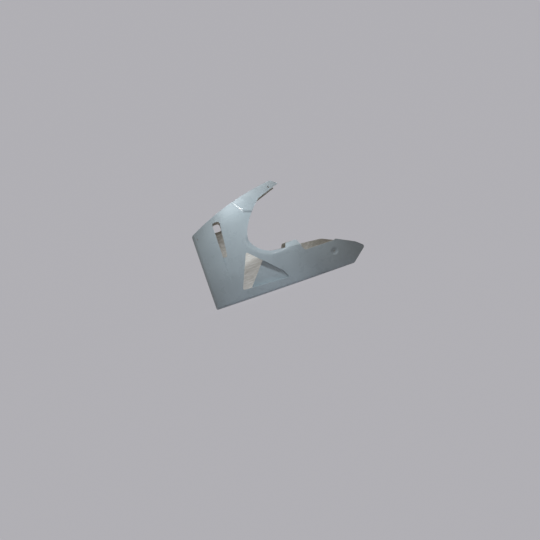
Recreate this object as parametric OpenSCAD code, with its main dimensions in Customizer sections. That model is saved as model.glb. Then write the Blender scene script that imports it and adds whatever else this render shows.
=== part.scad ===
/* [Overall] */
// Overall length, front edge to tail tip
pan_length = 895; // [770:1:1080]
// Overall width, at the widest station
pan_width = 410; // [350:1:500]
// Height of the arm's upper corner above the belly
arm_height = 578; // [500:1:700]
// Height of the front edge, at its upper corner
front_height = 422; // [350:1:460]
// Thickness of the laminate
wall = 2.5; // [2:0.1:4]

/* [Section] */
// Height at which the sides are widest
beam_height = 360; // [300:1:430]
// Radius of the sides, seen from the front
side_radius = 700; // [600:10:900]
// Radius between the belly and the sides
bilge_radius = 25; // [15:1:35]
// Radius of the sides, seen from above
plan_radius = 2400; // [1900:50:4000]
// Distance from the front edge to the widest station
plan_centre = 230; // [150:5:350]

/* [Side outline] */
// Length of the rising rear edge, seen from the side
tail_rake = 86; // [50:1:110]
// Height of the tail tip
tail_height = 75; // [60:1:90]
// Distance from the tail tip forward to the bend above it
tail_bend = 46; // [30:1:60]
// Height of that bend
bend_height = 112; // [100:1:125]
// Distance from the tail tip forward to the shoulder
tail_shoulder = 200; // [170:1:230]
// Height of the shoulder
shoulder_height = 186; // [170:1:195]
// Distance from the front edge to the arm's upper corner
arm_length = 498; // [440:1:560]
// Width of the arm's blunt end
arm_end = 45; // [30:1:60]
// Rise of the curved top edge over a straight line
arm_crown = 24; // [5:1:40]
// Distance from the front edge to the deepest point of the notch
notch_x = 283; // [260:1:320]
// Height of that point
notch_height = 314; // [290:1:340]
// Length of the notch's curve under the arm
notch_reach = 122; // [80:1:150]
// Length of the notch's curve into the rear edge
notch_run = 119; // [80:1:150]
// Height of the rear edge where the notch meets it
rear_edge_height = 212; // [190:1:230]
// Radius of the front upper corner
front_corner = 24; // [8:1:40]

/* [Stand cut-out] */
// Distance from the front edge to the middle of the cut-out
stand_x = 649; // [600:1:660]
// Length of the cut-out, on the left side only
stand_length = 178; // [80:1:215]
// Height of its level bottom
stand_height = 160; // [140:1:170]

/* [Slot] */
// Distance from the front edge to the slot
slot_x = 124; // [100:1:150]
// Height of the slot's lower end
slot_bottom = 259; // [230:1:300]
// Length of the slot
slot_length = 196; // [120:1:210]
// Width of the slot at its upper end
slot_top_width = 43; // [20:1:50]
// Width of the slot at its lower end
slot_low_width = 24; // [12:1:30]
// Length of the right side's shorter slot, which shares the left one's top
right_slot_length = 43; // [35:1:155]
// Height at which the crease below the slot dies out
crease_low = 85; // [60:1:140]
// Reach of the dip behind the crease, at the slot's lower end
crease_reach = 36; // [26:1:45]
// Depth of the dip at that place
crease_depth = 6; // [2:0.5:8]

/* [Side vent] */
// Distance from the front edge to the vent's front corner
vent_x = 169; // [160:1:190]
// Height of the vent's front corner
vent_bottom = 59; // [55:1:80]
// Length of the vent's lower edge
vent_length = 265; // [220:1:300]
// Fall of that edge to its rear end
vent_fall = 11; // [0:1:15]
// Height of the vent's peak above its front corner
vent_rise = 193; // [130:1:200]
// Distance from the vent's front corner back to its peak
vent_peak = 80; // [60:1:110]
// Height of the vent's blunt rear end
vent_end = 41; // [20:1:50]
// Lean of that end over its height
vent_end_lean = 18; // [0:1:25]
// Distance from the front corner to the foot of the ramp
ramp_x = 55; // [40:1:70]
// Lean of the ramp's foot from upright
ramp_lean = 39; // [20:1:45]
// Depth of the ramp at its foot
ramp_depth = 38; // [20:1:45]
// Depth of the ramp at the vent's rear end
ramp_end_depth = 8; // [4:1:12]
// Depth of the turned edges of the vent and the slot
lip_depth = 14; // [6:1:20]

/* [Arm step] */
// Height at which the arm stands proud of the side, behind the step
step_depth = 6; // [3:0.5:9]
// Distance from the front edge to the corner of the step
step_x = 302; // [285:1:320]
// Height of that corner
step_height = 456; // [440:1:470]
// Lean of the step's upper leg from upright
step_lean = 32; // [15:1:45]
// Fall of the step's rear leg from level
step_fall = 18; // [0:1:25]

/* [Tabs] */
// Distance from the front edge to the middle of the tab
tab_x = 502; // [470:1:530]
// Width of the tab at its root
tab_width = 98; // [60:1:110]
// Height of the tab, along its slope
tab_height = 52; // [30:1:60]
// Lean of the tab to the inside
tab_lean = 32; // [10:1:45]
// Height of the tab's hole, along its slope
tab_hole = 30; // [16:1:36]

/* [Dams and front edge] */
// Height of the walls that close the belly at the front and the rear
dam_height = 52; // [30:1:70]
// Distance from the front edge to the front wall
dam_x = 14; // [6:1:30]
// Radius at which the front edge rolls in
roll_radius = 21; // [12:1:28]

/* [Fasteners] */
// Diameter of every fastener hole
bore_d = 6.5; // [5:0.1:8]
// Distance from the tail tip forward to the dimple
dimple_back = 178; // [150:1:200]
// Height of the dimple
dimple_height = 100; // [85:1:110]
// Radius of the dimple at the skin
dimple_radius = 24; // [20:1:30]
// Radius of the dimple's flat seat
seat_radius = 10; // [9:1:16]
// Depth of that seat
seat_depth = 4; // [2:0.5:6]
// Distance of the arm's hole from its blunt end
arm_hole_in = 22; // [14:1:30]
// Distance of the front hole from both edges
front_hole_in = 24; // [18:1:34]

/* [Hidden] */
$fn = 48;
gelcoat = "#a2b1b6";
half_width = pan_width / 2;
side_centre = plan_radius - side_radius;
fillet_reach = sqrt(pow(side_radius - bilge_radius, 2) - pow(beam_height - bilge_radius, 2));
fillet_lean = asin(fillet_reach / (side_radius - bilge_radius));
form_top = arm_height + 40;
inner_radius = plan_radius - 1.25 * pan_width;
arm_under = arm_height - 73;
arm_tip = [arm_length + 0.77 * arm_end, arm_height - 0.64 * arm_end];
tab_root = rear_edge_height - 26;
dimple_x = pan_length - dimple_back;
right_slot_bottom = slot_bottom + slot_length - right_slot_length;
tab_seat = 1.2;
overlap = 0.2;
clear = 1;
side_facets = 112;
plan_facets = 320;

// Half the section's width at a height, at the widest station
function section_at(z) = half_width - side_radius
    + sqrt(pow(side_radius, 2) - pow(z - beam_height, 2));
// How far the side stands inside the widest station
function plan_at(x) = plan_radius - sqrt(pow(plan_radius, 2) - pow(x - plan_centre, 2));
// Distance of the outer skin from the middle plane
function skin(x, z) = section_at(z) - plan_at(x);

// Direction that halves the corner between two neighbours, and half its angle
function bisector(c, a, b) = let (m = (a - c) / norm(a - c) + (b - c) / norm(b - c))
    m / max(norm(m), 0.001);
function half_angle(c, a, b) = acos((a - c) * (b - c) / (norm(a - c) * norm(b - c))) / 2;
function flat(p) = [p[0], p[1]];
function before(list, i) = flat(list[(i + len(list) - 1) % len(list)]);
function after(list, i) = flat(list[(i + 1) % len(list)]);

// Points of an outline whose corners [x, y, radius] are rounded
function rounded(corners, steps = 4) = [
    for (i = [0 : len(corners) - 1])
        let (
            c = flat(corners[i]),
            r = corners[i][2],
            a = before(corners, i),
            b = after(corners, i),
            half = half_angle(c, a, b),
            centre = c + bisector(c, a, b) * r / sin(half),
            from = c + (a - c) / norm(a - c) * r / tan(half) - centre,
            to = c + (b - c) / norm(b - c) * r / tan(half) - centre,
            turn = (from[0] * to[1] - from[1] * to[0] > 0 ? 1 : -1) * (180 - 2 * half),
            start = atan2(from[1], from[0])
        )
        for (k = [0 : r > 0 ? steps : 0])
            r > 0 ? centre + r * [cos(start + turn * k / steps), sin(start + turn * k / steps)] : c
];

// The same corners with every side moved out by a distance
function grown(corners, by) = [
    for (i = [0 : len(corners) - 1])
        let (
            c = flat(corners[i]),
            a = before(corners, i),
            b = after(corners, i),
            out = c - bisector(c, a, b) * by / sin(half_angle(c, a, b))
        )
        [out[0], out[1], corners[i][2] + by]
];

// Points along an arc from a to b that stands off its chord, to the left of it
function arc(a, b, rise, steps) =
    let (
        half = norm(b - a) / 2,
        radius = (half * half + rise * rise) / (2 * rise),
        along = (b - a) / (2 * half),
        left = [-along[1], along[0]],
        centre = (a + b) / 2 - left * (radius - rise),
        reach = asin(half / radius)
    )
    [for (k = [0 : steps])
        let (t = reach * (2 * k / steps - 1))
        centre + radius * (left * cos(t) + along * sin(t))];

// The notch's edge, from the rear edge to its deepest point
function notch_lower(steps) = [
    for (k = [0 : steps])
        let (s = cos(90 * k / steps))
        [notch_x + notch_run * (1 - pow(1 - pow(s, 1.65), 1 / 1.65)),
         notch_height - (notch_height - rear_edge_height) * s, 0]
];

// The notch's edge, from its deepest point up to the underside of the arm
function notch_upper(steps) = [
    for (k = [1 : steps])
        [notch_x + notch_reach * pow(k / steps, 1.7),
         notch_height + (arm_under - notch_height) * k / steps, 0]
];

// The top edge of the arm and the front, from the arm's end to the front corner
function top_edge(steps) =
    let (edge = arc([0, front_height], [arm_length, arm_height], arm_crown, steps))
    [for (k = [steps - 1 : -1 : 1]) [edge[k][0], edge[k][1], 0]];

pan_outline = concat(
    [[0, 0, 10],
     [pan_length - tail_rake, 0, 14],
     [pan_length, tail_height, 12],
     [pan_length - tail_bend, bend_height, 80],
     [pan_length - tail_shoulder, shoulder_height, 60]],
    notch_lower(10),
    notch_upper(8),
    [[arm_tip[0], arm_tip[1], 5],
     [arm_length, arm_height, 7]],
    top_edge(14),
    [[0, front_height, front_corner]]
);

slot_outline = [
    [slot_x, slot_bottom, slot_low_width / 2 - 2],
    [slot_x + slot_low_width, slot_bottom, slot_low_width / 2 - 2],
    [slot_x + slot_top_width, slot_bottom + slot_length, slot_top_width / 3],
    [slot_x, slot_bottom + slot_length, slot_top_width / 3]
];

right_slot_outline = [
    [slot_x, right_slot_bottom, slot_low_width / 2 - 2],
    [slot_x + slot_top_width, right_slot_bottom, slot_low_width / 2 - 2],
    slot_outline[2],
    slot_outline[3]
];

// The dip behind the crease, between the crease and the line where it dies out
crease_foot = [slot_x, crease_low];
crease_line = [crease_reach, slot_bottom - crease_low];
crease_outline = [
    [slot_x, crease_low, 0],
    [slot_x + 1.1 * crease_line[0], crease_low + 1.1 * crease_line[1], 0],
    [slot_x, crease_low + 1.1 * crease_line[1], 0]
];

vent_outline = [
    [vent_x, vent_bottom, 9],
    [vent_x + vent_length, vent_bottom - vent_fall, 6],
    [vent_x + vent_length - vent_end_lean, vent_bottom - vent_fall + vent_end, 6],
    [vent_x + vent_peak, vent_bottom + vent_rise, 8]
];

// All that lies behind the foot of the vent's ramp
ramp_outline = let (foot = [vent_x + ramp_x, vent_bottom], rise = [tan(ramp_lean), 1])
    [foot - 40 * rise,
     [vent_x + vent_length + 40, vent_bottom - 40],
     [vent_x + vent_length + 40, vent_bottom + vent_rise + 60],
     foot + (vent_rise + 60) * rise];

// All that lies behind and above the arm's step
step_outline = [
    [step_x, step_height, 18],
    [step_x + 400, step_height - 400 * tan(step_fall), 0],
    [step_x + 400, form_top, 0],
    [step_x - (form_top - step_height) * tan(step_lean), form_top, 0]
];

stand_outline = [
    [stand_x - stand_length / 2, stand_height, 14],
    [stand_x + stand_length / 2, stand_height, 14],
    [stand_x + stand_length / 2 + 30, stand_height + 60, 0],
    [stand_x - stand_length / 2 - 30, stand_height + 60, 0]
];

// What is inside one side and above the belly, moved in by a depth:
// half of its section, at its distance from the axis of the side's plan radius
module section(depth) {
    belly_edge = side_centre + fillet_reach;
    tangent = [side_centre, beam_height]
        + (side_radius - depth) * [sin(fillet_lean), -cos(fillet_lean)];
    intersection() {
        translate([side_centre, beam_height]) circle(side_radius - depth, $fn = side_facets);
        translate([inner_radius, tangent[1]])
            square([2 * side_radius, form_top - tangent[1]]);
    }
    polygon([[inner_radius, depth], [belly_edge, depth], [belly_edge, bilge_radius],
             tangent, [inner_radius, tangent[1]]]);
    translate([belly_edge, bilge_radius]) circle(bilge_radius - depth, $fn = 32);
}

// A ring around the axis of the left side's plan radius, as far out as that side
module left_ring(depth) {
    translate([plan_centre, plan_radius - half_width, 0])
        rotate_extrude($fn = plan_facets) section(depth);
}

// The solid form of the pan, moved in by a depth
module form(depth) {
    intersection() {
        left_ring(depth);
        mirror([0, 1, 0]) left_ring(depth);
    }
}

// A side view pushed through the left side, and through both sides
module left() {
    translate([0, -clear, 0]) rotate([90, 0, 0]) linear_extrude(half_width) children();
}
module across() {
    rotate([90, 0, 0]) linear_extrude(pan_width + 2 * clear, center = true) children();
}
module both() {
    children();
    mirror([0, 1, 0]) children();
}

// The inside of the ramp: the left side moved in, and turned about the vent's rear end
module ramp(depth) {
    x = vent_x + vent_length;
    y = -skin(x, vent_bottom + vent_rise / 3);
    translate([x, y + ramp_end_depth, 0])
        rotate([0, 0, -atan((ramp_depth - ramp_end_depth) / (vent_length - ramp_x))])
            translate([-x, -y, 0]) left_ring(depth);
}

// The skin of the dip: the left side turned in about the line where it dies out
module dip(depth) {
    from = [crease_foot[0], -skin(crease_foot[0], crease_foot[1]), crease_foot[1]];
    to = [slot_x + crease_line[0], -skin(slot_x + crease_line[0], slot_bottom), slot_bottom];
    translate(from) rotate(a = -atan(crease_depth / crease_reach), v = to - from)
        translate(-from) left_ring(depth);
}

// The side that stands proud behind the arm's step, moved in by a depth
module proud(depth) {
    intersection() {
        form(depth - step_depth);
        across() polygon(rounded(grown(step_outline, -depth)));
    }
}

// What stands on the inner face: the backs of the vent's ramp and turned edges,
// of the slot, the dip, the dimple and the roll
module vent_back() {
    difference() {
        left() polygon(rounded(grown(vent_outline, wall)));
        intersection() {
            ramp(wall);
            left() polygon(ramp_outline);
        }
        difference() {
            form(lip_depth);
            left() polygon([for (p = ramp_outline) p + [p[0] > vent_x + vent_length ? 0 : overlap, 0]]);
        }
    }
}
module slot_back(outline) {
    difference() {
        left() polygon(rounded(grown(outline, wall)));
        form(lip_depth / 2);
    }
}
module crease_back() {
    difference() {
        left() polygon(rounded(grown(crease_outline, wall)));
        dip(wall);
    }
}

// What lies outside the front edge's rolled skin, on the left side
module roll(depth) {
    translate([roll_radius, side_radius - half_width + plan_at(roll_radius), beam_height])
        rotate([0, -90, 0]) difference() {
            cylinder(r = side_radius + roll_radius, h = roll_radius + clear, $fn = side_facets);
            translate([0, 0, -clear])
                cylinder(r = side_radius - roll_radius, h = roll_radius + 3 * clear,
                         $fn = side_facets);
            rotate_extrude($fn = side_facets)
                translate([side_radius - roll_radius, 0])
                    circle(roll_radius - depth, $fn = 32);
        }
}

// The walls across the belly that hold back spilt oil
module dams() {
    top_x = pan_length - tail_rake + dam_height * tail_rake / tail_height;
    translate([dam_x, -half_width, 0]) cube([wall, pan_width, dam_height]);
    across() polygon([
        [pan_length - tail_rake - wall, -clear],
        [pan_length - tail_rake + clear, -clear],
        [top_x + clear, dam_height],
        [top_x - wall, dam_height]
    ]);
}

// The space inside the shell
module inside() {
    difference() {
        union() {
            form(wall);
            proud(wall);
        }
        vent_back();
        slot_back(slot_outline);
        mirror([0, 1, 0]) slot_back(right_slot_outline);
        both() crease_back();
        both() dimple(wall);
        both() roll(wall);
        dams();
    }
}

// What is taken out of the left side's vent, and of a side's dip
module vent_cut() {
    difference() {
        left() polygon(rounded(vent_outline));
        intersection() {
            ramp(0);
            left() polygon(ramp_outline);
        }
    }
}
module crease_cut() {
    difference() {
        left() polygon(rounded(crease_outline));
        dip(0);
    }
}

// Where a tab stands: its own plane, from the middle of its root
module on_tab() {
    translate([tab_x, tab_seat - skin(tab_x, tab_root), tab_root])
        rotate([-tab_lean, 0, asin((tab_x - plan_centre) / plan_radius)])
            rotate([90, 0, 0]) translate([0, 0, -wall]) children();
}

// A tab that leans in from the rear edge, to be bolted to a bracket
module tab() {
    on_tab() linear_extrude(wall)
        polygon(rounded([
            [-tab_width / 2, 0, 0],
            [tab_width / 2, 0, 0],
            [tab_width / 2 - tab_height / 3, tab_height, 12],
            [tab_height / 3 - tab_width / 2, tab_height, 12]
        ]));
}

// A place on the left side, at a point of the side view, facing out of the skin
module on_skin(x, z) {
    out = [(x - plan_centre) / sqrt(pow(plan_radius, 2) - pow(x - plan_centre, 2)), -1,
           (z - beam_height) / sqrt(pow(side_radius, 2) - pow(z - beam_height, 2))];
    translate([x, -skin(x, z), z])
        rotate([0, acos(out[2] / norm(out)), atan2(out[1], out[0])]) children();
}

// A round recess with a flat seat for a screw's washer and a sloping side,
// and the space inside it, which is moved in by a depth
module dimple(depth) {
    slope = (dimple_radius - seat_radius) / seat_depth;
    reach = seat_depth + depth + clear;
    on_skin(dimple_x, dimple_height) translate([0, 0, -seat_depth - depth])
        cylinder(r1 = seat_radius, r2 = seat_radius + slope * reach, h = reach);
}

// A hole square to the skin, in a wall that lies at a depth under it
module bore(x, z, depth) {
    on_skin(x, z) translate([0, 0, -depth]) cylinder(d = bore_d, h = 6 * wall, center = true);
}
module tab_bore() {
    on_tab() translate([0, tab_hole, -2 * wall]) cylinder(d = bore_d, h = 5 * wall);
}

// The moulding, trimmed to its outline but not drilled
module moulding() {
    difference() {
        intersection() {
            union() {
                form(0);
                proud(0);
            }
            across() polygon(rounded(pan_outline));
        }
        inside();
        vent_cut();
        left() polygon(rounded(slot_outline));
        mirror([0, 1, 0]) left() polygon(rounded(right_slot_outline));
        both() crease_cut();
        both() dimple(0);
        both() roll(0);
        left() polygon(rounded(stand_outline));
    }
    both() tab();
}

// One piece: two sides and a flat belly, brought to its length and then drilled
module belly_pan() color(gelcoat) translate([-pan_length / 2, 0, 0]) {
    difference() {
        resize([pan_length, 0, 0]) moulding();
        both() bore(dimple_x, dimple_height, seat_depth);
        both() tab_bore();
        both() bore(arm_length - arm_hole_in, arm_height - arm_hole_in - 10, -step_depth);
        both() bore(front_hole_in, front_height - front_hole_in, 0);
    }
}

belly_pan();
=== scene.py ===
# %% [markdown]
# # A motorcycle belly pan in pale blue-grey gelcoat
# The pan is one moulding: glass mat laid into a female mould over a layer of
# gelcoat. The outside is therefore smooth and glossy, and the inside shows the
# bare mat. This lesson builds it as a single sheet, cuts the sheet to its
# outline, folds its edges, and gives it a wall only at the end.

# %% The frame, and the size that nothing may outgrow
import bpy
from math import acos, asin, ceil, cos, pi, radians, sin, sqrt, tan
from mathutils import Matrix, Vector


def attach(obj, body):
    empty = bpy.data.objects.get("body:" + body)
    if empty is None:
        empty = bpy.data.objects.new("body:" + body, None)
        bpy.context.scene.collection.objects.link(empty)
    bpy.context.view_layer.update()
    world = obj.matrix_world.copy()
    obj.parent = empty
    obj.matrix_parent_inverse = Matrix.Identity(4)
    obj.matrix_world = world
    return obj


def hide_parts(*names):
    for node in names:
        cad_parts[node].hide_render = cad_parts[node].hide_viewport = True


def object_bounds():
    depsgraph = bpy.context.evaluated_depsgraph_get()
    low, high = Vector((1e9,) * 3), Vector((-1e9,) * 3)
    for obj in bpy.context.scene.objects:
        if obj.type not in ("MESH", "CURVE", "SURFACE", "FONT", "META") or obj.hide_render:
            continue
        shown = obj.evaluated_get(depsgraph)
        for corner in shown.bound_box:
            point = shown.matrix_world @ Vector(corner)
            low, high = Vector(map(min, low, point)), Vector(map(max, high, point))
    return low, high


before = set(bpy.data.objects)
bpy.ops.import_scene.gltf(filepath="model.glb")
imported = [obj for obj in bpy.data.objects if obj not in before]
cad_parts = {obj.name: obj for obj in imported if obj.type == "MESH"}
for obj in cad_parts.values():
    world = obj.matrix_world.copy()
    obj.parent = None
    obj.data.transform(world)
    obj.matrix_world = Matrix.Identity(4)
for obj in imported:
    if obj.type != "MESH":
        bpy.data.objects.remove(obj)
cad_low, cad_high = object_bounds()
print("CAD box", [round(v, 4) for v in (*cad_low, *cad_high)])

# %% [markdown]
# ## The sizes of the pan
# Every length is a real one, in metres. Distances along the pan are counted
# from its front edge, as a laminator would measure them, and the frame's own
# origin lies in the middle, so one value moves them there.

# %% Driving sizes
PAN_LENGTH = cad_high.x - cad_low.x
HALF_WIDTH = (cad_high.y - cad_low.y) / 2
FRONT_X = cad_low.x
ARM_HEIGHT, FRONT_HEIGHT = 0.578, 0.422
WALL = 0.0025
BEAM_HEIGHT, SIDE_RADIUS, BILGE_RADIUS = 0.360, 0.700, 0.025
PLAN_RADIUS, PLAN_CENTRE = 2.400, 0.230
TAIL_RAKE, TAIL_HEIGHT, TAIL_BEND, BEND_HEIGHT = 0.086, 0.075, 0.046, 0.112
TAIL_SHOULDER, SHOULDER_HEIGHT = 0.200, 0.186
ARM_LENGTH, ARM_END, ARM_CROWN = 0.498, 0.045, 0.024
ARM_DEPTH, END_RUN, END_DROP = 0.073, 0.77, 0.64
ARM_UNDER = ARM_HEIGHT - ARM_DEPTH
NOTCH_X, NOTCH_HEIGHT, NOTCH_REACH, NOTCH_RUN = 0.283, 0.314, 0.122, 0.119
NOTCH_BEND, UNDERSIDE_BEND = 1.65, 1.7
REAR_EDGE_HEIGHT = 0.212
FRONT_CORNER, NOSE_CORNER = 0.024, 0.010

BILGE_REACH = sqrt((SIDE_RADIUS - BILGE_RADIUS) ** 2 - (BEAM_HEIGHT - BILGE_RADIUS) ** 2)
BILGE_SWEEP = asin(BILGE_REACH / (SIDE_RADIUS - BILGE_RADIUS))
BELLY_EDGE = HALF_WIDTH - SIDE_RADIUS + BILGE_REACH


def plan_inset(x):
    """How far the side stands inside the widest station, x from the front edge."""
    return PLAN_RADIUS - sqrt(PLAN_RADIUS ** 2 - (x - PLAN_CENTRE) ** 2)


def skin(x, z):
    """Distance of the outer skin from the middle plane."""
    side = sqrt(SIDE_RADIUS ** 2 - (z - BEAM_HEIGHT) ** 2)
    return HALF_WIDTH - SIDE_RADIUS + side - plan_inset(x)


def skin_angles(x, z):
    """How far the skin turns to the rear and up, at a point of the side view."""
    return asin((x - PLAN_CENTRE) / PLAN_RADIUS), asin((z - BEAM_HEIGHT) / SIDE_RADIUS)


print("half width at the front edge", round(skin(0, 0.3), 4))

# %% [markdown]
# ## Outlines
# The trimmed edges are drawn in side view, as the trim lines scribed in the
# mould are. An outline is a short list of corners, each with its radius, and
# one function rounds them. The notch for the foot controls is a curve. The tail's
# point is rounded too, so the sheet ends about 7 mm short of the CAD box.

# %% Rounded corners


def corner(points, i):
    """A corner, its half angle and the direction that halves it."""
    c = Vector(points[i][:2])
    a = (Vector(points[i - 1][:2]) - c).normalized()
    b = (Vector(points[(i + 1) % len(points)][:2]) - c).normalized()
    half = acos(max(-1.0, min(1.0, a.dot(b)))) / 2
    middle = a + b
    return c, half, a, b, (middle.normalized() if middle.length > 1e-6 else Vector((0, 0)))


def rounded(points, steps=6):
    """The outline whose corners (x, z, radius) are rounded."""
    outline = []
    for i, point in enumerate(points):
        c, half, a, b, middle = corner(points, i)
        radius = point[2]
        if radius == 0:
            outline.append(c)
            continue
        centre = c + middle * radius / sin(half)
        start = c + a * radius / tan(half) - centre
        end = c + b * radius / tan(half) - centre
        turn = (1 if start.cross(end) > 0 else -1) * (pi - 2 * half)
        for k in range(steps + 1):
            t = turn * k / steps
            outline.append(centre + Vector((start.x * cos(t) - start.y * sin(t),
                                            start.x * sin(t) + start.y * cos(t))))
    return outline


def grown(points, by):
    """The same corners with every side moved out by a distance."""
    out = []
    for i, point in enumerate(points):
        c, half, a, b, middle = corner(points, i)
        moved = c - middle * by / sin(half)
        out.append((moved.x, moved.y, max(point[2] + by, 0.0)))
    return out


print("a rounded square", len(rounded([(0, 0, 0.1), (1, 0, 0.1), (1, 1, 0.1), (0, 1, 0.1)])))

# %% Curved edges, and the pan's whole outline


def arc(a, b, rise, steps):
    """Points along an arc from a to b that stands off its chord."""
    a, b = Vector(a), Vector(b)
    half = (b - a).length / 2
    radius = (half ** 2 + rise ** 2) / (2 * rise)
    along = (b - a) / (2 * half)
    left = Vector((-along.y, along.x))
    centre = (a + b) / 2 - left * (radius - rise)
    reach = asin(half / radius)
    return [centre + radius * (left * cos(t) + along * sin(t))
            for t in (reach * (2 * k / steps - 1) for k in range(steps + 1))]


def notch_edge(lower=16, upper=14):
    """The notch, from the rear edge round to the underside of the arm."""
    edge = []
    for k in range(lower + 1):
        s = cos(pi / 2 * k / lower)
        edge.append((NOTCH_X + NOTCH_RUN * (1 - (1 - s ** NOTCH_BEND) ** (1 / NOTCH_BEND)),
                     NOTCH_HEIGHT - (NOTCH_HEIGHT - REAR_EDGE_HEIGHT) * s, 0))
    for k in range(1, upper + 1):
        edge.append((NOTCH_X + NOTCH_REACH * (k / upper) ** UNDERSIDE_BEND,
                     NOTCH_HEIGHT + (ARM_UNDER - NOTCH_HEIGHT) * k / upper, 0))
    return edge


SPARE, BELOW = 0.002, 0.010
nose = [(NOSE_CORNER * (1 - cos(radians(a))), NOSE_CORNER * (1 - sin(radians(a))), 0)
        for a in (15, 35, 55, 75)]
top_edge = arc((0, FRONT_HEIGHT), (ARM_LENGTH, ARM_HEIGHT), ARM_CROWN, 24)[-2:0:-1]
pan_outline = rounded([
    (-SPARE, NOSE_CORNER, 0), *nose, (NOSE_CORNER, -BELOW, 0),
    (PAN_LENGTH - TAIL_RAKE * (1 + BELOW / TAIL_HEIGHT), -BELOW, 0),
    (PAN_LENGTH, TAIL_HEIGHT, 0.012),
    (PAN_LENGTH - TAIL_BEND, BEND_HEIGHT, 0.080),
    (PAN_LENGTH - TAIL_SHOULDER, SHOULDER_HEIGHT, 0.060),
    *notch_edge(),
    (ARM_LENGTH + END_RUN * ARM_END, ARM_HEIGHT - END_DROP * ARM_END, 0.005),
    (ARM_LENGTH, ARM_HEIGHT, 0.007),
    *[(p.x, p.y, 0) for p in top_edge],
    (-SPARE, FRONT_HEIGHT, FRONT_CORNER)])
print("points on the pan's outline", len(pan_outline))

# %% [markdown]
# The openings are drawn the same way: a tapered slot behind the front blade,
# which is shorter on the right side, and on the left side only a triangular
# vent whose rear part is a ramp, and the stand's cut-out. The arm stands proud
# of the side, behind a stepped line, so that the fairing above laps it evenly.

# %% Slots and vent
SLOT_X, SLOT_BOTTOM, SLOT_LENGTH, SLOT_TOP, SLOT_LOW = 0.124, 0.259, 0.196, 0.043, 0.024
RIGHT_SLOT_BOTTOM = 0.412
SLOT_LOW_RADIUS, SLOT_TOP_RADIUS = SLOT_LOW / 2 - 0.002, SLOT_TOP / 3
slot_head = [(SLOT_X + SLOT_TOP, SLOT_BOTTOM + SLOT_LENGTH, SLOT_TOP_RADIUS),
             (SLOT_X, SLOT_BOTTOM + SLOT_LENGTH, SLOT_TOP_RADIUS)]
slot_line = rounded([(SLOT_X, SLOT_BOTTOM, SLOT_LOW_RADIUS),
                     (SLOT_X + SLOT_LOW, SLOT_BOTTOM, SLOT_LOW_RADIUS), *slot_head])
right_slot_line = rounded([(SLOT_X, RIGHT_SLOT_BOTTOM, SLOT_LOW_RADIUS),
                           (SLOT_X + SLOT_TOP, RIGHT_SLOT_BOTTOM, SLOT_LOW_RADIUS), *slot_head])

VENT_X, VENT_BOTTOM, VENT_LENGTH, VENT_FALL = 0.169, 0.059, 0.265, 0.011
VENT_RISE, VENT_PEAK, VENT_END, VENT_END_LEAN = 0.193, 0.080, 0.041, 0.018
vent_end = Vector((VENT_X + VENT_LENGTH, VENT_BOTTOM - VENT_FALL))
vent_line = rounded([(VENT_X, VENT_BOTTOM, 0.009), (*vent_end, 0.006),
                     (vent_end.x - VENT_END_LEAN, vent_end.y + VENT_END, 0.006),
                     (VENT_X + VENT_PEAK, VENT_BOTTOM + VENT_RISE, 0.008)])
RAMP_X, RAMP_LEAN, RAMP_DEPTH, RAMP_END_DEPTH, LIP_DEPTH = 0.055, radians(39), 0.038, 0.008, 0.014
FOOT_BELOW, FOOT_RISE = 0.04, 0.30
foot_way = Vector((tan(RAMP_LEAN), 1))
foot_low = Vector((VENT_X + RAMP_X, VENT_BOTTOM)) - FOOT_BELOW * foot_way
foot_high = foot_low + FOOT_RISE * foot_way
print("slot, right slot and vent", [len(o) for o in (slot_line, right_slot_line, vent_line)])

# %% Step, crease, cut-out and holes
STEP_X, STEP_HEIGHT, STEP_DEPTH = 0.302, 0.456, 0.006
STEP_LEAN, STEP_FALL, STEP_RUN = radians(32), radians(18), 0.014
FAR_X, FAR_Z = 0.70, 0.64
step = [(STEP_X, STEP_HEIGHT, 0.018),
        (FAR_X, STEP_HEIGHT - (FAR_X - STEP_X) * tan(STEP_FALL), 0), (FAR_X, FAR_Z, 0),
        (STEP_X - (FAR_Z - STEP_HEIGHT) * tan(STEP_LEAN), FAR_Z, 0)]
step_line = rounded(step)

CREASE_LOW, CREASE_WALL, CREASE_REACH, CREASE_DEPTH = 0.085, 0.0015, 0.036, 0.006
CREASE_PAST, CREASE_BEND, CREASE_FADE, CREASE_FADE_RUN = 0.012, 1.5, 0.02, 0.10

STAND_X, STAND_LENGTH, STAND_HEIGHT = 0.649, 0.178, 0.160
STAND_CORNER, STAND_FLARE, STAND_ABOVE = 0.014, 0.03, 0.06
stand_line = rounded([
    (STAND_X - STAND_LENGTH / 2, STAND_HEIGHT, STAND_CORNER),
    (STAND_X + STAND_LENGTH / 2, STAND_HEIGHT, STAND_CORNER),
    (STAND_X + STAND_LENGTH / 2 + STAND_FLARE, STAND_HEIGHT + STAND_ABOVE, 0),
    (STAND_X - STAND_LENGTH / 2 - STAND_FLARE, STAND_HEIGHT + STAND_ABOVE, 0)])

DIMPLE_BACK, DIMPLE_HEIGHT = 0.178, 0.100
DIMPLE = Vector((PAN_LENGTH - DIMPLE_BACK, DIMPLE_HEIGHT))
DIMPLE_RADIUS, SEAT_RADIUS, SEAT_DEPTH, BORE_RADIUS = 0.024, 0.010, 0.004, 0.00325
ARM_HOLE_IN, ARM_HOLE_DOWN, FRONT_HOLE_IN = 0.022, 0.032, 0.024
bores = [DIMPLE, Vector((ARM_LENGTH - ARM_HOLE_IN, ARM_HEIGHT - ARM_HOLE_DOWN)),
         Vector((FRONT_HOLE_IN, FRONT_HEIGHT - FRONT_HOLE_IN))]


def ring(centre, radius, count):
    """A circle on the skin, as it looks in side view."""
    turn, tilt = skin_angles(*centre)
    squash = Vector((cos(turn), cos(tilt)))
    return [centre + radius * squash * Vector((cos(2 * pi * k / count), sin(2 * pi * k / count)))
            for k in range(count)]


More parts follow.
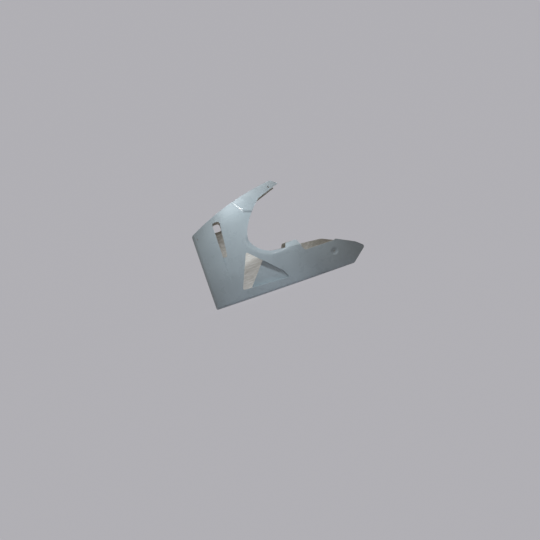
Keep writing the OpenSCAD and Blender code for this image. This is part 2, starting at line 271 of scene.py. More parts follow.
def ring_distance(centre, x, z):
    """Distance along the skin from a point of the side view to another."""
    turn, tilt = skin_angles(*centre)
    return Vector(((x - centre.x) / cos(turn), (z - centre.y) / cos(tilt))).length


def inside(outline, x, z):
    """Is a point of the side view inside an outline?"""
    odd = False
    for i, a in enumerate(outline):
        b = outline[i - 1]
        if (a[1] > z) != (b[1] > z) and x < (b[0] - a[0]) * (z - a[1]) / (b[1] - a[1]) + a[0]:
            odd = not odd
    return odd


def edge_distance(outline, x, z):
    """Distance from a point to an outline, in side view."""
    p, best = Vector((x, z)), 1e9
    for i, a in enumerate(outline):
        a, b = Vector(a[:2]), Vector(outline[i - 1][:2])
        t = max(0.0, min(1.0, (p - a).dot(b - a) / max((b - a).length_squared, 1e-12)))
        best = min(best, (a + t * (b - a) - p).length)
    return best


print("screw holes", len(bores), "on each side")

# %% [markdown]
# ## The sheet
# A sheet of gelcoat could be modelled as a box with its faces pulled about, but
# its curves are arcs, so it starts as a grid primitive. Each row of the grid
# becomes one line along the pan, from the left side's top down round the bilge,
# across the belly and up the right side. Each column becomes one station. The
# front edge rolls in along a quarter of a circle, so its stations lie closer.

# %% Rows and stations of the grid
CELL = 0.0050
ROLL_RADIUS, ROLL_CELLS = 0.021, 8
BELLY_CELLS, BILGE_CELLS = 7, 6
ROOM_ABOVE = 0.006
FORM_TOP = ARM_HEIGHT + ROOM_ABOVE
top_angle = asin((FORM_TOP - BEAM_HEIGHT) / SIDE_RADIUS)
side_angle = top_angle + pi / 2 - BILGE_SWEEP
SIDE_CELLS = ceil(side_angle * SIDE_RADIUS / CELL)
long_cells = ceil((PAN_LENGTH + SPARE - ROLL_RADIUS) / CELL)
stations = [ROLL_RADIUS * (1 - cos(pi / 2 * k / ROLL_CELLS)) for k in range(ROLL_CELLS)]
stations += [ROLL_RADIUS + (PAN_LENGTH + SPARE - ROLL_RADIUS) * k / long_cells
             for k in range(long_cells + 1)]


def half_row(k):
    """Row k of the left half: (kind, value), counted from the top to the middle."""
    if k <= SIDE_CELLS:
        return "side", top_angle - side_angle * k / SIDE_CELLS
    k -= SIDE_CELLS
    if k <= BILGE_CELLS:
        return "bilge", BILGE_SWEEP * (1 - k / BILGE_CELLS)
    return "belly", 1 - (k - BILGE_CELLS) / BELLY_CELLS


def rolled_in(x, y, z):
    """Brings a point near the front edge in to the edge's roll."""
    if x >= ROLL_RADIUS:
        return y, z
    axis = Vector((HALF_WIDTH - SIDE_RADIUS - plan_inset(ROLL_RADIUS), BEAM_HEIGHT))
    reach = SIDE_RADIUS - ROLL_RADIUS + sqrt(ROLL_RADIUS ** 2 - (ROLL_RADIUS - x) ** 2)
    out = Vector((y, z)) - axis
    return axis + out * min(1.0, reach / out.length)


def sheet_point(x, row):
    """The outer skin at a station and a row: distance from the middle, and height."""
    kind, value = row
    inset = plan_inset(x)
    if kind == "side":
        return rolled_in(x, HALF_WIDTH - SIDE_RADIUS - inset + SIDE_RADIUS * cos(value),
                         BEAM_HEIGHT + SIDE_RADIUS * sin(value))
    if kind == "bilge":
        return rolled_in(x, BELLY_EDGE - inset + BILGE_RADIUS * sin(value),
                         BILGE_RADIUS * (1 - cos(value)))
    return (BELLY_EDGE - inset) * value, 0.0


half_rows = SIDE_CELLS + BILGE_CELLS + BELLY_CELLS
rows = [(-1, half_row(k)) for k in range(half_rows + 1)]
rows += [(1, half_row(k)) for k in range(half_rows - 1, -1, -1)]
print("sheet", len(stations), "stations by", len(rows), "rows")

# %% Selecting by place, and moving in and out of edit mode
MODES = {"edges": "EDGE", "polygons": "FACE"}


def object_mode():
    """Out of edit mode, with nothing selected."""
    if bpy.context.object and bpy.context.object.mode != "OBJECT":
        bpy.ops.object.mode_set(mode="OBJECT")
    bpy.ops.object.select_all(action="DESELECT")


def edit_parts(piece, kind, test):
    """Opens a piece in edit mode with the edges or faces that pass a test selected."""
    object_mode()
    bpy.context.view_layer.objects.active = piece
    piece.select_set(True)
    mesh = piece.data
    for parts in (mesh.vertices, mesh.edges, mesh.polygons):
        parts.foreach_set("select", [False] * len(parts))
    chosen = [part for part in getattr(mesh, kind) if test(part)]
    for part in chosen:
        part.select = True
    bpy.context.tool_settings.mesh_select_mode = (False, kind == "edges", kind == "polygons")
    bpy.ops.object.mode_set(mode="EDIT")
    bpy.ops.mesh.select_mode(type=MODES[kind])
    return len(chosen)


def selected_points(piece):
    """The points that an extrusion has just made, back in object mode."""
    bpy.ops.object.mode_set(mode="OBJECT")
    return [v for v in piece.data.vertices if v.select]


def add_mesh(name, verts, faces, material_index=0):
    """A mesh object from points and faces."""
    mesh = bpy.data.meshes.new(name)
    mesh.from_pydata([tuple(v) for v in verts], [], faces)
    made = bpy.data.objects.new(name, mesh)
    bpy.context.collection.objects.link(made)
    for polygon in mesh.polygons:
        polygon.material_index = material_index
    return made


def joined(target, *others):
    """Joins other pieces to the target."""
    object_mode()
    for piece in (target, *others):
        piece.select_set(True)
    bpy.context.view_layer.objects.active = target
    bpy.ops.object.join()


print("modes", MODES)

# %% A grid primitive laid over the mould
object_mode()
bpy.ops.mesh.primitive_grid_add(x_subdivisions=len(stations) - 1, y_subdivisions=len(rows) - 1,
                                size=2)
pan = bpy.context.object
pan.name = "belly_pan_moulding"
for v in pan.data.vertices:
    x = stations[round((v.co.x + 1) / 2 * (len(stations) - 1))]
    side, row = rows[round((1 - v.co.y) / 2 * (len(rows) - 1))]
    y, z = sheet_point(x, row)
    v.co = (x, side * y, z)
print("sheet", len(pan.data.polygons), "faces")

# %% [markdown]
# ## Cutting
# On the real pan the trim lines are cut with a saw after the moulding leaves
# the mould. Here all the lines are pushed through the sheet as thin fences, and
# Intersect cuts the sheet along them, so that every edge is as sharp and as
# smooth as its outline. The fences are then thrown away.

# %% Fences along every line
REACH = HALF_WIDTH + 0.03
STEP_FENCES, DISH_RINGS, DISH_POINTS, BORE_POINTS = 7, 6, 40, 24


def fence(points, low=-REACH, high=REACH, closed=True):
    """A thin wall along a line of the side view, across the pan."""
    n = len(points)
    verts = [(p[0], low, p[1]) for p in points] + [(p[0], high, p[1]) for p in points]
    faces = [(i, (i + 1) % n, n + (i + 1) % n, n + i) for i in range(n if closed else n - 1)]
    return verts, faces


fences = [fence(pan_outline), fence(slot_line, high=0), fence(right_slot_line, low=0),
          fence(vent_line, high=0), fence([foot_low, foot_high], high=0, closed=False),
          fence(stand_line, high=0)]
fences += [fence(rounded(grown(step, -STEP_RUN * k / (STEP_FENCES - 1))))
           for k in range(STEP_FENCES)]
fences += [fence([(SLOT_X + dx, CREASE_LOW), (SLOT_X + dx, SLOT_BOTTOM + CREASE_PAST)],
                 closed=False) for dx in (0, CREASE_WALL)]
dish_rings = [SEAT_RADIUS + (DIMPLE_RADIUS - SEAT_RADIUS) * k / (DISH_RINGS - 1)
              for k in range(DISH_RINGS)]
fences += [fence(ring(DIMPLE, r, DISH_POINTS)) for r in dish_rings]
fences += [fence(ring(c, BORE_RADIUS, BORE_POINTS)) for c in bores]
all_verts, all_faces = [], []
for verts, faces in fences:
    all_faces += [tuple(i + len(all_verts) for i in f) for f in faces]
    all_verts += verts
cutter = add_mesh("fences", all_verts, all_faces, 1)
print("fences", len(fences), "with", len(all_faces), "faces")

# %% One cut along all of them
for piece in (pan, cutter):
    for name in ("sheet", "fence"):
        piece.data.materials.append(bpy.data.materials.get(name) or bpy.data.materials.new(name))
joined(pan, cutter)
edit_parts(pan, "polygons", lambda f: f.material_index == 1)
bpy.ops.mesh.intersect(mode="SELECT_UNSELECT", separate_mode="NONE", solver="EXACT")
object_mode()
print("cut sheet", len(pan.data.polygons), "faces")

# %% [markdown]
# The cut leaves the whole sheet in place, so the waste comes away now: what lies
# outside the pan's outline, in the slots, in the open part of the vent, in the
# stand's cut-out and in the screw holes. A face is judged by where its middle
# lies in side view.

# %% Taking the waste away
WELD, JUST_INSIDE = 0.00005, 0.98
foot_run = foot_high - foot_low


def behind_foot(x, z):
    """Is a point of the side view behind the foot of the ramp?"""
    return foot_run.cross(Vector((x, z)) - foot_low) < 0


def is_waste(face):
    """Does a face go into the bin?"""
    x, y, z = face.center
    if face.material_index == 1 or not inside(pan_outline, x, z):
        return True
    if inside(slot_line if y < 0 else right_slot_line, x, z):
        return True
    if y < 0 and (inside(stand_line, x, z) or inside(vent_line, x, z) and not behind_foot(x, z)):
        return True
    return any(ring_distance(c, x, z) < BORE_RADIUS * JUST_INSIDE for c in bores)


print("waste", edit_parts(pan, "polygons", is_waste), "faces")
bpy.ops.mesh.delete(type="FACE")
bpy.ops.mesh.select_all(action="SELECT")
bpy.ops.mesh.remove_doubles(threshold=WELD)
bpy.ops.mesh.dissolve_degenerate(threshold=WELD)
object_mode()
print("trimmed sheet", len(pan.data.polygons), "faces")

# %% [markdown]
# ## Pressing in the step, the crease and the dimple
# Four forms are in the mould itself, so on the pan they are changes of depth
# and not separate pieces. The arm steps out behind a line. Behind the front
# blade the side dips, deepest at the slot's lower end and dying out below it.
# The rear edge rolls in where it leaves the notch. The dimple is a shallow dish
# whose flat middle seats a screw's washer. Each is a function of the place in
# side view, so the points are moved by it.

# %% Depth of each pressed form


def ease(t):
    """0 below 0, 1 above 1, and a smooth rise between."""
    t = max(0.0, min(1.0, t))
    return t * t * (3 - 2 * t)


def step_depth(x, z):
    """The arm stands out by this much, a short run inside its line."""
    if not inside(step_line, x, z):
        return 0.0
    return -STEP_DEPTH * ease(edge_distance(step_line, x, z) / STEP_RUN)


def crease_depth(x, z):
    """The dip behind the front blade."""
    if x < SLOT_X + CREASE_WALL * 0.9 or z < CREASE_LOW or z > SLOT_BOTTOM + SLOT_LENGTH:
        return 0.0
    low = min(1.0, (z - CREASE_LOW) / (SLOT_BOTTOM - CREASE_LOW))
    high = max(0.0, (z - SLOT_BOTTOM) / SLOT_LENGTH)
    reach = CREASE_REACH * low + (SLOT_TOP - SLOT_LOW) * high
    t = max(0.0, SLOT_X + reach - x) / CREASE_REACH
    fade = 1 - ease((z - SLOT_BOTTOM - CREASE_FADE) / CREASE_FADE_RUN)
    return CREASE_DEPTH * t ** CREASE_BEND * fade


SOFT_EDGE, SOFT_RADIUS, SOFT_TOP = 0.026, 0.045, 0.03
SOFT_X, SOFT_Z = (0.26, 0.60), (0.14, 0.36)
SOFT_FADE_X, SOFT_FADE_Z = (0.36, 0.20), (0.29, 0.05)
rear_edge_line = [(PAN_LENGTH - TAIL_SHOULDER, SHOULDER_HEIGHT)]
rear_edge_line += [p[:2] for p in notch_edge() if p[1] < NOTCH_HEIGHT + SOFT_TOP]


def soft_depth(x, z):
    """The roll of the rear edge, strongest at the notch and gone before the tail."""
    if not (SOFT_X[0] < x < SOFT_X[1] and SOFT_Z[0] < z < SOFT_Z[1]):
        return 0.0
    d = min(edge_distance([a, b], x, z) for a, b in zip(rear_edge_line, rear_edge_line[1:]))
    fade = 1.0
    for value, (start, run) in ((x, SOFT_FADE_X), (z, SOFT_FADE_Z)):
        fade *= 1 - ease((value - start) / run)
    return fade * max(0.0, SOFT_EDGE - d) ** 2 / (2 * SOFT_RADIUS)


def dish_depth(x, z):
    """The dimple's slope and its flat seat."""
    r = ring_distance(DIMPLE, x, z)
    return SEAT_DEPTH * ease((DIMPLE_RADIUS - r) / (DIMPLE_RADIUS - SEAT_RADIUS))


print("seat", round(1000 * dish_depth(*DIMPLE), 1), "mm deep")

# %% Moving the points


def inward(v, depth):
    """Moves a point of a side towards the middle plane."""
    v.co.y -= depth if v.co.y > 0 else -depth


turn, tilt = skin_angles(*DIMPLE)
dish_axis = Vector((tan(turn), 1, tan(tilt))).normalized()
for v in pan.data.vertices:
    x, y, z = v.co
    if z > CREASE_LOW:
        inward(v, step_depth(x, z) + crease_depth(x, z) + soft_depth(x, z))
    if (Vector((x, z)) - DIMPLE).length < DIMPLE_RADIUS:
        v.co -= dish_depth(x, z) * dish_axis * Vector((1, 1 if y > 0 else -1, 1))
print("pressed the step, the crease, the soft edge and the dimple")

# %% [markdown]
# ## Folding the turned edges
# A laminate's opening is stiffened by turning its edge in. The ramp is pushed in
# first: its faces are extruded, so that walls form between it and the side, and
# then each point moves in by a depth that grows towards the foot. The edges of
# the slots and of the open part of the vent are extruded straight in. All faces
# are first turned to look outward, and the new ones follow them.

# %% Normals, and the ramp behind the vent
edit_parts(pan, "polygons", lambda f: True)
bpy.ops.mesh.normals_make_consistent(inside=False)
object_mode()
if sum(f.normal.y * f.center.y * f.area for f in pan.data.polygons) < 0:
    edit_parts(pan, "polygons", lambda f: True)
    bpy.ops.mesh.flip_normals()
    object_mode()

ON_FOOT, ON_RIM = 0.0002, 0.0004
ramp_end = VENT_X + VENT_LENGTH
ramp_rate = (RAMP_DEPTH - RAMP_END_DEPTH) / (VENT_LENGTH - RAMP_X)


def on_ramp(face):
    """Is a face behind the ramp's foot, inside the vent's outline?"""
    return face.center.y < 0 and inside(vent_line, face.center.x, face.center.z)


print("ramp faces", edit_parts(pan, "polygons", on_ramp))
bpy.ops.mesh.extrude_region()
ramp_points = selected_points(pan)
for v in ramp_points:
    inward(v, RAMP_END_DEPTH + max(0.0, ramp_end - v.co.x) * ramp_rate)
ramp_places = {v.index for v in ramp_points}


def is_foot_wall(face):
    """Is a face part of the wall that extruding leaves across the ramp's foot?"""
    line = foot_run.normalized()
    places = [pan.data.vertices[i].co for i in face.vertices]
    return all(p.y < 0 and abs(line.cross(Vector((p.x, p.z)) - foot_low)) < ON_FOOT
               for p in places)


print("foot walls", edit_parts(pan, "polygons", is_foot_wall))
bpy.ops.mesh.delete(type="FACE")
object_mode()

# %% Turned edges of the vent and of the slots


def open_edges(piece):
    """The edges that only one face uses."""
    count = {}
    for face in piece.data.polygons:
        for key in face.edge_keys:
            count[key] = count.get(key, 0) + 1
    return {key for key, n in count.items() if n == 1}


def turned_edge(outline, depth, side, keep):
    """Extrudes the free edges along an outline towards the inside."""
    free, points = open_edges(pan), pan.data.vertices

    def on_rim(edge):
        """Is a free edge on the outline, and not on the ramp?"""
        a, b = (points[i].co for i in edge.vertices)
        x, y, z = (a + b) / 2
        return (tuple(sorted(edge.vertices)) in free and side * y > 0 and keep(x, z)
                and not any(i in ramp_places for i in edge.vertices)
                and edge_distance(outline, x, z) < ON_RIM)

    found = edit_parts(pan, "edges", on_rim)
    bpy.ops.mesh.extrude_edges_move()
    for v in selected_points(pan):
        inward(v, depth)
    return found


print("vent edges", turned_edge(vent_line, LIP_DEPTH, -1, lambda x, z: not behind_foot(x, z)))
print("slot edges", turned_edge(slot_line, LIP_DEPTH / 2, -1, lambda x, z: True))
print("right slot edges", turned_edge(right_slot_line, LIP_DEPTH / 2, 1, lambda x, z: True))

# %% [markdown]
# ## The tabs
# A tab on each side leans in from the rear edge and is bolted to a bracket. Each
# is a circle primitive of 64 points laid on the tab's outline, and an inset ring
# in it becomes the bolt hole. Its root sits a little behind the skin, as a tab
# that is laid up against the finished side does.

# %% A flat plate laid up behind each rear edge
TAB_X, TAB_WIDTH, TAB_HEIGHT, TAB_LEAN = 0.502, 0.098, 0.052, radians(32)
TAB_HOLE, TAB_ROOT, TAB_SEAT, TAB_CORNER = 0.030, REAR_EDGE_HEIGHT - 0.026, 0.0012, 0.012
TAB_POINTS, TAB_RIM, TAB_FIELD, TAB_WELD = 64, 0.002, 0.010, 0.00002
tab_line = rounded([(-TAB_WIDTH / 2, 0, 0), (TAB_WIDTH / 2, 0, 0),
                    (TAB_WIDTH / 2 - TAB_HEIGHT / 3, TAB_HEIGHT, TAB_CORNER),
                    (-TAB_WIDTH / 2 + TAB_HEIGHT / 3, TAB_HEIGHT, TAB_CORNER)], steps=12)


def along_line(line, angle, middle):
    """Where a ray from the middle meets a closed line."""
    out = Vector((cos(angle), sin(angle)))
    best = 0.0
    for i, a in enumerate(line):
        a, b = Vector(a[:2]) - middle, Vector(line[i - 1][:2]) - middle
        bend = out.cross(b - a)
        if abs(bend) > 1e-12:
            reach, t = a.cross(b - a) / bend, a.cross(out) / bend
            if -1e-6 <= t <= 1 + 1e-6:
                best = max(best, reach)
    return middle + best * out


tab_middle = Vector((0, TAB_HOLE))
tab_turn = skin_angles(TAB_X, REAR_EDGE_HEIGHT)[0]
tabs = []
for side in (-1, 1):
    object_mode()
    bpy.ops.mesh.primitive_circle_add(vertices=TAB_POINTS, radius=1.0, fill_type="NGON")
    tab = bpy.context.object
    tab.name = "tab"
    for v in tab.data.vertices:
        v.co.xy = along_line(tab_line, 2 * pi * v.index / TAB_POINTS, tab_middle)
    edit_parts(tab, "polygons", lambda f: True)
    bpy.ops.mesh.inset(thickness=TAB_RIM)
    bpy.ops.mesh.inset(thickness=TAB_FIELD)
    for v in selected_points(tab):
        v.co.xy = tab_middle + BORE_RADIUS * (v.co.xy - tab_middle).normalized()
    edit_parts(tab, "polygons", lambda f: (f.center.xy - tab_middle).length < 1e-4)
    bpy.ops.mesh.delete(type="FACE")
    object_mode()
    for v in tab.data.vertices:
        u, h = v.co.xy
        x = TAB_X + u * cos(tab_turn)
        z = TAB_ROOT + h * cos(TAB_LEAN)
        y = skin(TAB_X, TAB_ROOT) - TAB_SEAT - u * sin(tab_turn) - h * sin(TAB_LEAN)
        v.co = (x, side * y, z)
    if sum(f.normal.y * side * f.area for f in tab.data.polygons) < 0:
        edit_parts(tab, "polygons", lambda f: True)
        bpy.ops.mesh.flip_normals()
        object_mode()
    tabs.append(tab)
print("tabs", [len(tab.data.polygons) for tab in tabs])

# %% [markdown]
# ## The wall
# Solidify turns the sheet into a laminate of one thickness, grown to the inside
# so that the outer skin stays where the mould put it. It also sorts the faces:
# gelcoat outside, bare mat inside, and the sawn edge between them.

# %% Finishes for the three kinds of face, and the wall
joined(pan, *tabs)
edit_parts(pan, "polygons", lambda f: True)
bpy.ops.mesh.remove_doubles(threshold=TAB_WELD)
bpy.ops.mesh.delete_loose()
object_mode()
for v in pan.data.vertices:
    v.co.x += FRONT_X
pan.data.materials.clear()
gelcoat = bpy.data.materials.new("gelcoat_blue_grey")
laminate = bpy.data.materials.new("glass_mat_laminate")
sawn_edge = bpy.data.materials.new("sawn_laminate_edge")
for material in (gelcoat, laminate, sawn_edge):
    pan.data.materials.append(material)
for face in pan.data.polygons:
    face.material_index = 0
pan.select_set(True)
bpy.context.view_layer.objects.active = pan
wall = pan.modifiers.new("wall", "SOLIDIFY")
wall.thickness, wall.offset = WALL, -1
wall.use_even_offset, wall.use_quality_normals = False, True
wall.material_offset, wall.material_offset_rim = 1, 2
bpy.ops.object.modifier_apply(modifier=wall.name)
print("laminate", len(pan.data.polygons), "faces")

# %% [markdown]
# Two low walls across the belly hold back spilt oil, one behind the front edge
# and one along the raked rear edge. Each is one flat plate whose outline is the
# section of the pan at that place, let into the skin by half its thickness.

# %% The two dams
DAM_HEIGHT, DAM_X, REAR_DAM_IN = 0.052, 0.014, 2.2 * WALL
LET_IN, SMOOTH_ANGLE = WALL / 2, radians(38)


def dam(name, x_low, rake):
    """A plate across the belly whose place along the pan depends on the height."""
    outline = []
    for side, row in rows:
        if sheet_point(x_low, row)[1] > DAM_HEIGHT:
            continue
        x = x_low + rake * sheet_point(x_low, row)[1]
        y, z = sheet_point(x, row)
        outline.append(Vector((FRONT_X + x, side * (y - LET_IN), max(z, LET_IN))))
    n = len(outline)
    back = [v + Vector((WALL, 0, 0)) for v in outline]
    faces = [tuple(range(n)), tuple(range(2 * n - 1, n - 1, -1))]
    faces += [(i, n + i, n + (i + 1) % n, (i + 1) % n) for i in range(n)]
    plate = add_mesh(name, outline + back, faces, 2)
    for material in (gelcoat, laminate, sawn_edge):
        plate.data.materials.append(material)
    plate.data.polygons[0].material_index = 1
    plate.data.polygons[1].material_index = 1
    return plate


joined(pan, dam("front_dam", DAM_X, 0.0),
       dam("rear_dam", PAN_LENGTH - TAIL_RAKE - REAR_DAM_IN, TAIL_RAKE / TAIL_HEIGHT))
edit_parts(pan, "polygons", lambda f: True)
bpy.ops.mesh.normals_make_consistent(inside=False)
object_mode()
pan.select_set(True)
bpy.ops.object.shade_smooth_by_angle(angle=SMOOTH_ANGLE)
print("pan", len(pan.data.polygons), "faces")

# %% [markdown]
# ## Finishes
# Colours are written as the hex values that a painter would match, and one
# function turns them into the linear numbers that the shader wants. One small
# function adds a node with its settings and its links. Sockets that share a name
# are given by number, so _0 is the first input.

# %% Colour and node helpers


def linear(code, alpha=1.0):
    """A hex colour in linear light."""
    channels = [int(code[i:i + 2], 16) / 255 for i in (1, 3, 5)]
    return (*[c / 12.92 if c <= 0.04045 else ((c + 0.055) / 1.055) ** 2.4 for c in channels],
            alpha)


def node(material, kind, settings=None, **inputs):
    """Adds a node, sets its properties and its inputs, and links what is a socket."""
    made = material.node_tree.nodes.new(kind)
    for key, value in (settings or {}).items():
        setattr(made, key, value)
    for key, value in inputs.items():
        socket = made.inputs[int(key[1:])] if key[0] == "_" else made.inputs[key.replace("_", " ")]
        if isinstance(value, bpy.types.NodeSocket):
            material.node_tree.links.new(value, socket)
        else:
            socket.default_value = value
    return made


def fresh(material):
    """Empties a material and gives it object coordinates, a shader and an output."""
    material.use_nodes = True
    material.node_tree.nodes.clear()
    place = node(material, "ShaderNodeTexCoord").outputs["Object"]
    shader = node(material, "ShaderNodeBsdfPrincipled")
    node(material, "ShaderNodeOutputMaterial", Surface=shader.outputs["BSDF"])
    return place, shader


def link(material, source, shader, name):
    """Links a socket to one of the shader's own inputs."""
    material.node_tree.links.new(source, shader.inputs[name])


def colour_ramp(material, value, *stops):
    """A colour ramp between hex colours at positions."""
    made = node(material, "ShaderNodeValToRGB", Fac=value)
    elements = made.color_ramp.elements
    while len(elements) < len(stops):
        elements.new(0.5)
    for element, (position, code) in zip(elements, stops):
        element.position = position
        element.color = linear(code)
    return made.outputs["Color"]


print("helpers ready")

# %% [markdown]
# Gelcoat is a pigmented polyester resin, sprayed into a waxed mould: glossy,
# with the long shallow waves of the mould, a faint orange peel of about 3 mm
# and some dulling where hands and dust have been. Its index is that of polyester.

# %% Gelcoat, pale blue-grey, straight from the mould
MM = 0.001


def paint_gelcoat(material):
    """Mottled colour, dulled patches, the mould's waves and orange peel."""
    place, shader = fresh(material)
    cloud = node(material, "ShaderNodeTexNoise", Vector=place, Scale=1 / (160 * MM), Detail=3.0)
    colour = colour_ramp(material, cloud.outputs["Fac"], (0.30, "#9facb2"), (0.70, "#a9b6bc"))
    link(material, colour, shader, "Base Color")
    haze = node(material, "ShaderNodeTexNoise", Vector=place, Scale=1 / (45 * MM), Detail=5.0)
    dull = node(material, "ShaderNodeMapRange", Value=haze.outputs["Fac"], _1=0.3, _2=0.75,
                _3=0.24, _4=0.38)
    link(material, dull.outputs["Result"], shader, "Roughness")
    wave = node(material, "ShaderNodeTexNoise", Vector=place, Scale=1 / (70 * MM), Detail=0.0)
    peel = node(material, "ShaderNodeTexNoise", Vector=place, Scale=1 / (3 * MM), Detail=1.0)
    long_bump = node(material, "ShaderNodeBump", Strength=0.35, Distance=0.9 * MM,
                     Height=wave.outputs["Fac"])
    bump = node(material, "ShaderNodeBump", Strength=0.12, Distance=0.05 * MM,
                Height=peel.outputs["Fac"], Normal=long_bump.outputs["Normal"])
    link(material, bump.outputs["Normal"], shader, "Normal")
    shader.inputs["IOR"].default_value = 1.52
    shader.inputs["Coat Weight"].default_value = 0.25
    shader.inputs["Coat Roughness"].default_value = 0.12


paint_gelcoat(gelcoat)
print("gelcoat", len(gelcoat.node_tree.nodes), "nodes")

# %% [markdown]
# The inside is chopped-strand mat in clear polyester: khaki resin with paler
# glass strands about 50 mm long lying every way, and a rough, brushed-on
# surface. The strands are noise stretched along three directions. They are drawn
# 2.5 mm wide, coarser than the real bundles, so that they show at this distance.

# %% Bare glass mat in resin, and its sawn edge


def strands(material, place, angle, seed):
    """Noise stretched along one direction of the side, as a bundle of strands is."""
    turned = node(material, "ShaderNodeMapping", Vector=place,
                  Rotation=(angle, angle * 0.6, angle), Location=(seed, seed, seed),
                  Scale=(1 / (50 * MM), 1 / (2.5 * MM), 1 / (12 * MM)))
    return node(material, "ShaderNodeTexNoise", Vector=turned.outputs["Vector"], Scale=1.0,
                Detail=2.0).outputs["Fac"]


def paint_laminate(material):
    """Resin in patches under three layers of strands."""
    place, shader = fresh(material)
    layers = [strands(material, place, radians(a), s) for a, s in ((12, 0), (74, 3), (131, 7))]
    top = node(material, "ShaderNodeMath", {"operation": "MAXIMUM"}, _0=layers[0], _1=layers[1])
    top = node(material, "ShaderNodeMath", {"operation": "MAXIMUM"}, _0=top.outputs[0],
               _1=layers[2])
    patch = node(material, "ShaderNodeTexNoise", Vector=place, Scale=1 / (90 * MM), Detail=3.0)
    resin = colour_ramp(material, patch.outputs["Fac"], (0.35, "#a3a199"), (0.65, "#b2b0a8"))
    glass = colour_ramp(material, top.outputs[0], (0.52, "#000000"), (0.72, "#ffffff"))
    mixed = node(material, "ShaderNodeMix", {"data_type": "RGBA"}, _0=glass, _6=resin,
                 _7=linear("#c6c5c0"))
    link(material, mixed.outputs[2], shader, "Base Color")
    bump = node(material, "ShaderNodeBump", Strength=0.6, Distance=0.5 * MM,
                Height=top.outputs[0])
    link(material, bump.outputs["Normal"], shader, "Normal")
    shader.inputs["Roughness"].default_value = 0.5
    shader.inputs["IOR"].default_value = 1.54


def paint_sawn_edge(material):
    """The pale, dull grain that a saw leaves."""
    place, shader = fresh(material)
    grain = node(material, "ShaderNodeTexNoise", Vector=place, Scale=1 / (1.5 * MM), Detail=3.0)
    colour = colour_ramp(material, grain.outputs["Fac"], (0.35, "#a9a69a"), (0.65, "#cbc9bf"))
    link(material, colour, shader, "Base Color")
    shader.inputs["Roughness"].default_value = 0.75


paint_laminate(laminate)
paint_sawn_edge(sawn_edge)
print("laminate", len(laminate.node_tree.nodes), "nodes")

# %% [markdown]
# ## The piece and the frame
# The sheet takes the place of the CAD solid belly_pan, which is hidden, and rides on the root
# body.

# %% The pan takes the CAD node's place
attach(pan, "root")
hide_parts("belly_pan")

# %% [markdown]
# ## The studio
# The floor sweeps up behind the pan in one curve, as a photographer's paper roll
# does, so that no line shows behind the object. Its colour is the backdrop's
# pale grey. To the camera and in reflections it is mostly that plain colour, and
# the rest is a diffuse paper that takes a faint shadow of the pan.

# %% Floor and backdrop in one sweep
SWEEP_FRONT, SWEEP_BACK, SWEEP_RADIUS, SWEEP_HALF, SWEEP_TOP = -9.0, 3.5, 2.0, 9.0, 9.0
SWEEP_STEPS, PLAIN_SHARE, PLAIN_STRENGTH = 10, 0.94, 1.03
profile = [Vector((SWEEP_FRONT, 0)), Vector((SWEEP_BACK, 0))]
for k in range(1, SWEEP_STEPS + 1):
    bend = radians(90 * k / SWEEP_STEPS)
    profile.append(Vector((SWEEP_BACK + SWEEP_RADIUS * sin(bend),
                           SWEEP_RADIUS * (1 - cos(bend)))))
profile.append(Vector((SWEEP_BACK + SWEEP_RADIUS, SWEEP_TOP)))
count = len(profile)
sweep = add_mesh("paper_sweep",
                 [(x, p.x, p.y) for x in (-SWEEP_HALF, SWEEP_HALF) for p in profile],
                 [(i, count + i, count + i + 1, i + 1) for i in range(count - 1)])
for polygon in sweep.data.polygons:
    polygon.use_smooth = True

paper = bpy.data.materials.new("grey_backdrop_paper")
paper.use_nodes = True
paper.node_tree.nodes.clear()
PAPER = linear("#b2b1b6")
rays = node(paper, "ShaderNodeLightPath")
seen = node(paper, "ShaderNodeMath", {"operation": "MAXIMUM"}, _0=rays.outputs["Is Camera Ray"],
            _1=rays.outputs["Is Glossy Ray"])
share = node(paper, "ShaderNodeMath", {"operation": "MULTIPLY"}, _0=seen.outputs[0],
             _1=PLAIN_SHARE)
diffuse = node(paper, "ShaderNodeBsdfDiffuse", Color=PAPER)
plain = node(paper, "ShaderNodeEmission", Color=PAPER, Strength=PLAIN_STRENGTH)
both = node(paper, "ShaderNodeMixShader", _0=share.outputs[0], _1=diffuse.outputs[0],
            _2=plain.outputs[0])
node(paper, "ShaderNodeOutputMaterial", Surface=both.outputs[0])
sweep.data.materials.append(paper)
print("sweep", len(sweep.data.polygons), "faces")

# %% [markdown]
# ## Light and camera
# Every lamp is a spot with a fully soft edge, so each one brightens a part of the
# pan and dies out around it. The key lamp hangs high on the left side and falls
# off towards the belly and the tail. The fill lamp stands low and far off, and
# opens the shadows. The step lamp skims past the nose and draws the bright line
# along the arm's step. The arm lamp and the tail lamp come from above, the first
# onto the arm and the second onto the dimple. The inside lamp looks down past the
# left side onto the bare mat that shows through the vent. The back lamp is for
# the right side, which the photograph doesn't show. The world adds a weak warm
# light from all round, and to the camera it has the paper's colour, so that the
# paper's top edge can't be seen.
#
# The camera looks at the left side from a little ahead and is turned about its
# own axis, so that the pan hangs nose down in the picture as in the photograph.

# %% Lamps and world


def lamp(name, place, target, radius, power, cone, tint):
    """A soft-edged spot lamp aimed at a point."""
    data = bpy.data.lights.new(name, "SPOT")
    data.shadow_soft_size, data.spot_size, data.spot_blend = radius, radians(cone), 1.0
    data.energy, data.color = power, linear(tint)[:3]
    made = bpy.data.objects.new(name, data)
    made.location = place
    made.rotation_euler = (Vector(target) - Vector(place)).to_track_quat("-Z", "Y").to_euler()
    bpy.context.collection.objects.link(made)
    return made


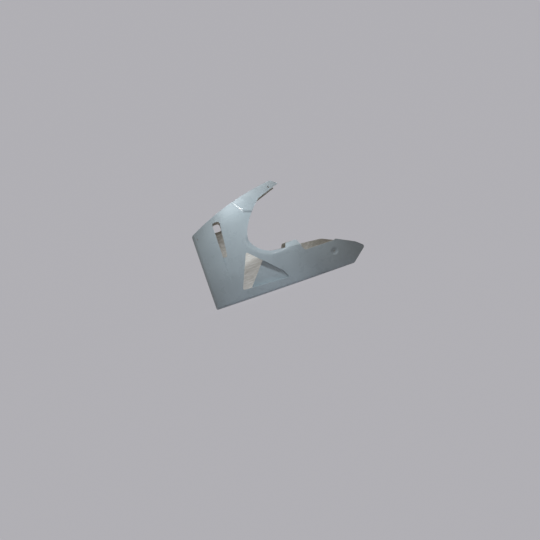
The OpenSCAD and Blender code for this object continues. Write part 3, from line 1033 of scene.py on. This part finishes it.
# Name, place, target, radius, watts, cone in degrees, tint
lamp("key_lamp", (-0.20, -2.20, 2.37), (-0.160, -0.19, 0.235), 0.12, 275, 16.2, "#f5faff")
lamp("fill_lamp", (0.75, -4.10, 0.20), (0.0, -0.15, 0.25), 0.08, 48, 24.0, "#f8fbff")
lamp("step_lamp", (-1.22, -1.34, 0.28), (-0.185, -0.18, 0.51), 0.04, 55, 6.5, "#ffffff")
lamp("arm_lamp", (0.50, -1.40, 2.00), (0.02, -0.17, 0.50), 0.12, 40, 15.0, "#f5faff")
lamp("tail_lamp", (-0.30, -1.00, 1.30), (0.27, -0.10, 0.10), 0.03, 40, 8.5, "#ffffff")
lamp("inside_lamp", (-0.22, -0.30, 1.70), (-0.21, 0.19, 0.09), 0.05, 88, 13.0, "#f2f6ff")
lamp("back_lamp", (0.50, 2.60, 1.50), (0.0, 0.15, 0.25), 0.30, 70, 30.0, "#f8fbff")
FILL_STRENGTH = 0.27
world = bpy.data.worlds.new("studio")
bpy.context.scene.world = world
world.use_nodes = True
world.node_tree.nodes.clear()
fill = node(world, "ShaderNodeBackground", Color=linear("#fff5ea"), Strength=FILL_STRENGTH)
behind = node(world, "ShaderNodeBackground", Color=PAPER, Strength=1.0)
rays = node(world, "ShaderNodeLightPath")
both = node(world, "ShaderNodeMixShader", _0=rays.outputs["Is Camera Ray"], _1=fill.outputs[0],
            _2=behind.outputs[0])
node(world, "ShaderNodeOutputWorld", Surface=both.outputs[0])
print("lamps", [light.name for light in bpy.data.lights])

# %% Camera
PHOTO_SIZE, PHOTO_MM_PER_PIXEL = 540, 5.4
PHOTO_NOSE = Vector((217, 311))
ROLL, AZIMUTH, ELEVATION, DISTANCE = radians(18.7), radians(-3), radians(1.6), 5.0
SENSOR, CLIP_END = 0.036, 60
offset = Vector((PHOTO_SIZE / 2, -PHOTO_SIZE / 2)) - Vector((PHOTO_NOSE.x, -PHOTO_NOSE.y))
offset = offset * PHOTO_MM_PER_PIXEL * MM
aim_x = offset.x * cos(ROLL) + offset.y * sin(ROLL)
aim_z = offset.y * cos(ROLL) - offset.x * sin(ROLL)
aim = Vector((FRONT_X + aim_x, -skin(aim_x, BEAM_HEIGHT / 2), aim_z))
back = Vector((sin(AZIMUTH) * cos(ELEVATION), -cos(AZIMUTH) * cos(ELEVATION), sin(ELEVATION)))
camera = bpy.data.objects.new("camera", bpy.data.cameras.new("camera"))
camera.data.sensor_width = SENSOR / MM
camera.data.lens = SENSOR / MM * DISTANCE / (PHOTO_SIZE * PHOTO_MM_PER_PIXEL * MM)
camera.data.clip_end = CLIP_END
camera.location = aim + back * DISTANCE
look = (-back).to_track_quat("-Z", "Y").to_matrix()
camera.rotation_euler = (look @ Matrix.Rotation(-ROLL, 3, "Z")).to_euler()
bpy.context.collection.objects.link(camera)
bpy.context.scene.camera = camera
bpy.context.scene.view_settings.view_transform = "Standard"
print("lens", round(camera.data.lens, 1), "mm")
